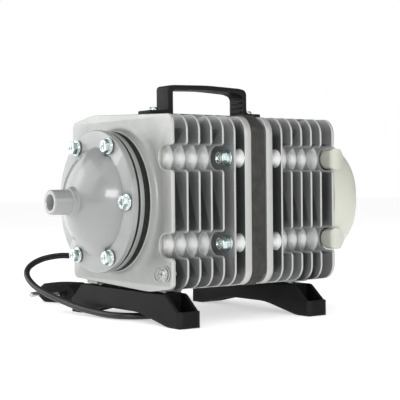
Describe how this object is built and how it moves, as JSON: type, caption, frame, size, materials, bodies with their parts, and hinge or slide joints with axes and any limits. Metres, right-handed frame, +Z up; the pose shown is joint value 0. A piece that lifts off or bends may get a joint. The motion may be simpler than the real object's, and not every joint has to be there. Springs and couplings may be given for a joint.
{
  "type": "air pump",
  "caption": "Electromagnetic piston air pump for ponds and aquaria: finned cast housings, domed outlet cover with hose nozzle, carrying handle, two arched feet, mains lead with plug.",
  "frame": {"origin": "centre of the footprint of the pump without its lead, on the surface it stands on", "axes": "+X along the bore from the outlet nozzle towards the rear cover, +Y towards the side that the mains lead leaves, +Z up"},
  "size_m": [0.2391, 0.2249, 0.1616],
  "materials": {
    "cast_aluminium": "as-cast light grey, satin",
    "painted_cover": "satin light grey paint",
    "zinc_plated": "bright blue-white zinc plate",
    "steel": "ground",
    "black_rubber": "matt",
    "black_plastic": "fine moulded grain",
    "cream_plastic": "satin moulding",
    "laminated_iron": "varnished dark grey laminations",
    "copper_winding": "enamelled wire",
    "nylon": "natural nylon",
    "filter_foam": "open-cell foam"
  },
  "bodies": {
    "housing": {"front_housing": "cast_aluminium", "rear_housing": "cast_aluminium", "valve_plate": "cast_aluminium", "outlet_cover": "painted_cover", "cover_bolt_1": "zinc_plated", "cover_bolt_2": "zinc_plated", "cover_bolt_3": "zinc_plated", "cover_bolt_4": "zinc_plated", "cover_bolt_5": "zinc_plated", "cover_bolt_6": "zinc_plated", "clamp_bolt_1": "zinc_plated", "clamp_bolt_2": "zinc_plated", "clamp_bolt_3": "zinc_plated", "clamp_bolt_4": "zinc_plated", "rear_cover_screw_1": "zinc_plated", "rear_cover_screw_2": "zinc_plated", "rear_cover_screw_3": "zinc_plated", "rear_cover_screw_4": "zinc_plated", "earth_screw": "zinc_plated", "handle_screw_1": "zinc_plated", "handle_screw_2": "zinc_plated", "foot_screw_1": "zinc_plated", "foot_screw_2": "zinc_plated", "foot_screw_3": "zinc_plated", "foot_screw_4": "zinc_plated", "cover_gasket": "black_rubber", "head_gasket": "black_rubber", "strain_relief": "black_rubber", "power_cord": "black_rubber", "cord_coil": "black_rubber", "outlet_valve_guard": "steel", "outlet_valve_screw": "steel", "cylinder_liner": "steel", "return_spring": "steel", "spring_seat": "steel", "plug_pin_1": "steel", "plug_pin_2": "steel", "stator_core": "laminated_iron", "guide_bush": "nylon", "bobbin_lower": "nylon", "bobbin_upper": "nylon", "winding_lower": "copper_winding", "winding_upper": "copper_winding", "rear_cover": "cream_plastic", "filter_foam": "filter_foam", "handle": "black_plastic", "front_foot": "black_plastic", "rear_foot": "black_plastic", "plug_body": "black_plastic"},
    "piston_assembly": {"piston": "cast_aluminium", "piston_ring": "black_rubber", "piston_rod": "steel", "armature": "laminated_iron", "intake_valve_guard": "steel", "intake_valve_screw": "steel"},
    "intake_valve": {"intake_valve_disc": "black_rubber"},
    "outlet_valve": {"outlet_valve_disc": "black_rubber"}
  },
  "joints": [
    {"name": "piston_slide", "type": "slide", "parent": "housing", "child": "piston_assembly", "axis": [1, 0, 0], "range_m": [-0.0015, 0.0085], "stiffness_N_per_m": 6000, "deforming": ["return_spring"]},
    {"name": "intake_valve_slide", "type": "slide", "parent": "piston_assembly", "child": "intake_valve", "axis": [-1, 0, 0], "range_m": [0, 0.0009], "stiffness_N_per_m": 80},
    {"name": "outlet_valve_slide", "type": "slide", "parent": "housing", "child": "outlet_valve", "axis": [-1, 0, 0], "range_m": [0, 0.0013], "stiffness_N_per_m": 80}
  ]
}
